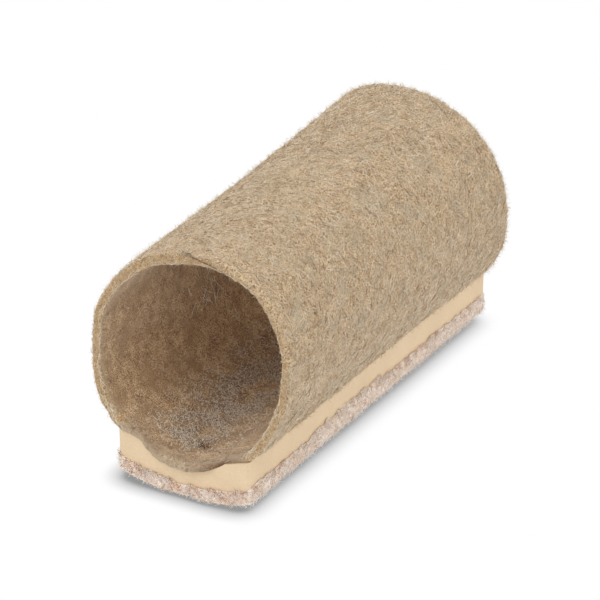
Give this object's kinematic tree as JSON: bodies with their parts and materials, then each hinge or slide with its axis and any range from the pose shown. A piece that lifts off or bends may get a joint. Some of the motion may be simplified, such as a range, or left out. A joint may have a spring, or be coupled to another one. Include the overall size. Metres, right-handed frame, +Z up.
{
  "type": "wrap-around chair glide",
  "caption": "Felt sleeve that wraps round the runner tube of a chair, glued to a moulded saddle with a felt sole that slides on the floor.",
  "frame": {"origin": "middle of the part's footprint, at the floor under the felt sole", "axes": "+Y along the tube towards the back end, +X across it to the right of someone who looks into the front end, +Z up"},
  "size_m": [0.0272, 0.0584, 0.0312],
  "materials": {
    "needle_felt": "tan needle felt, fuzzy",
    "moulded_plastic": "smooth matte sand-coloured moulding",
    "sole_felt": "mottled pinkish-white and brown pressed wool felt"
  },
  "bodies": {
    "root": {"felt_wrap": "needle_felt", "saddle": "moulded_plastic", "felt_sole": "sole_felt"}
  },
  "joints": []
}
